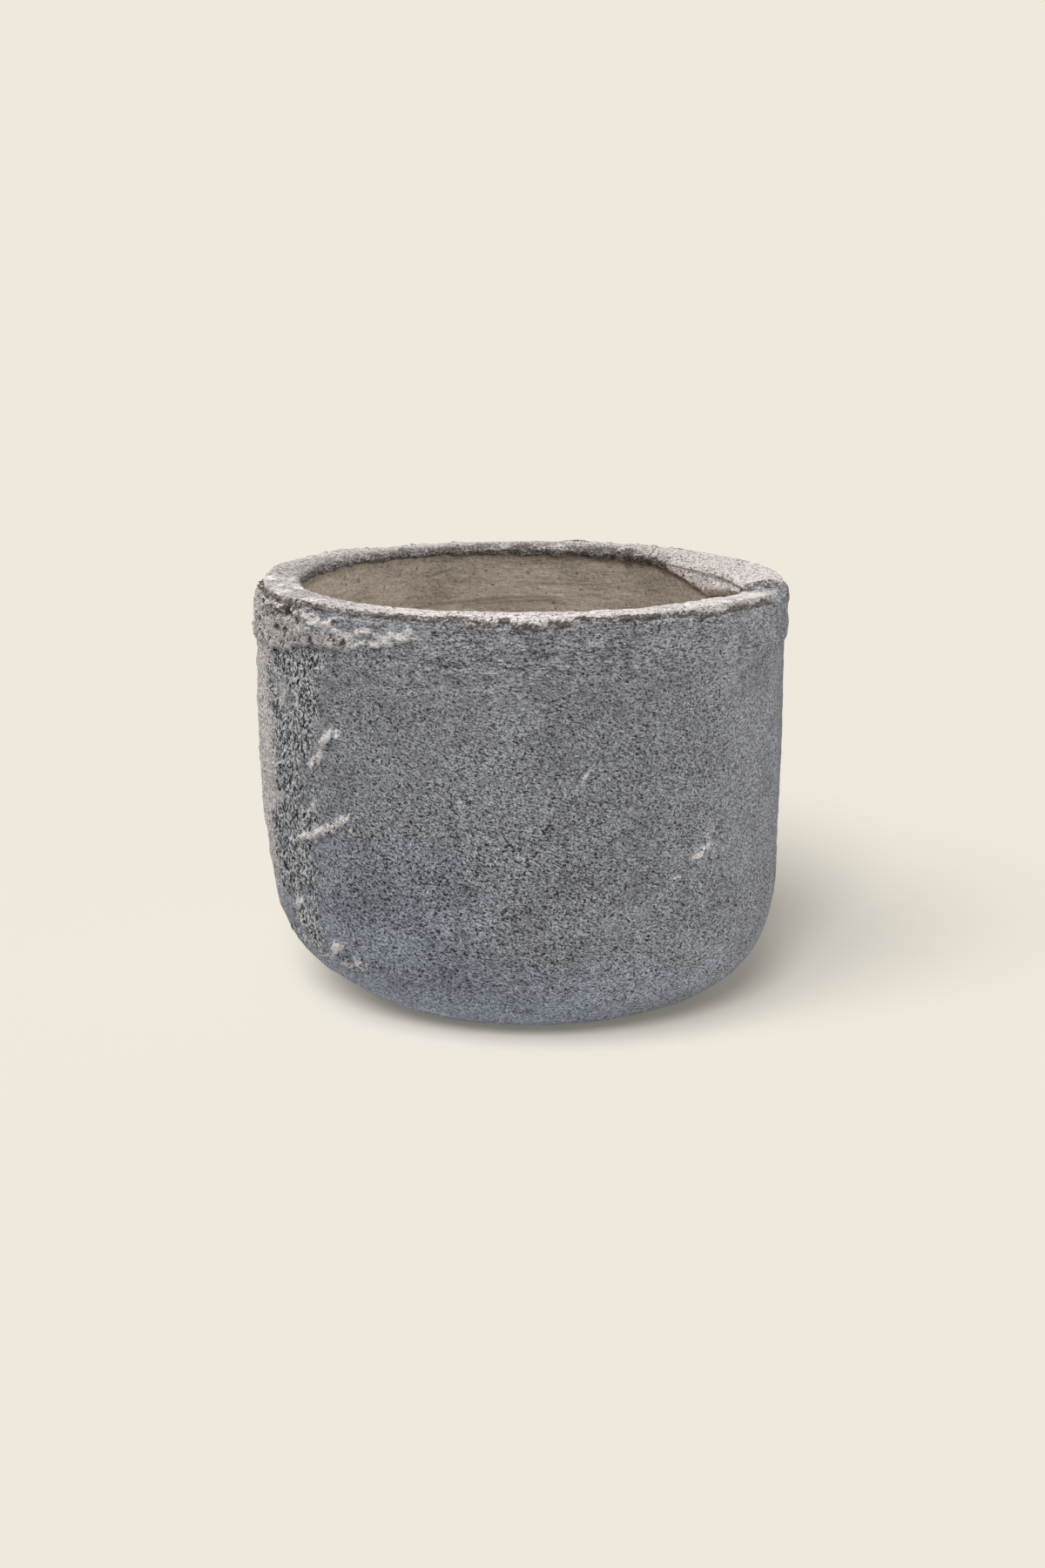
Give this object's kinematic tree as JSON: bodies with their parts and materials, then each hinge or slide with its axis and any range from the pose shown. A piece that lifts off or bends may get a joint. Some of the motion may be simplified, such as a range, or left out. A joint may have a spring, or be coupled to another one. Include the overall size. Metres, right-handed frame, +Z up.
{
  "type": "concrete planter",
  "caption": "Round floor planter of thick coarse grey concrete with a wide rounded foot, a smooth tan cement lining, a bunged drain in its floor and four rubber pads.",
  "frame": {"origin": "on the ground, under the middle of the pot", "axes": "+Z up; the picture looks along +Y, so -Y faces the viewer and +X is to the viewer's right, where the overlap in the rim is"},
  "size_m": [0.5992, 0.5992, 0.475],
  "materials": {
    "coarse_concrete": "matte",
    "smooth_cement": "matte",
    "drain_plastic": "matte",
    "plug_rubber": "matte",
    "pad_rubber": "matte"
  },
  "bodies": {
    "planter": {"concrete_shell": "coarse_concrete", "wall_lining": "smooth_cement", "floor_screed": "smooth_cement", "drain_sleeve": "drain_plastic", "foot_pad_1": "pad_rubber", "foot_pad_2": "pad_rubber", "foot_pad_3": "pad_rubber", "foot_pad_4": "pad_rubber"},
    "plug": {"drain_plug": "plug_rubber"}
  },
  "joints": [
    {"name": "plug_pull", "type": "slide", "parent": "planter", "child": "plug", "axis": [0, 0, 1], "range_m": [0, 0.47]}
  ]
}
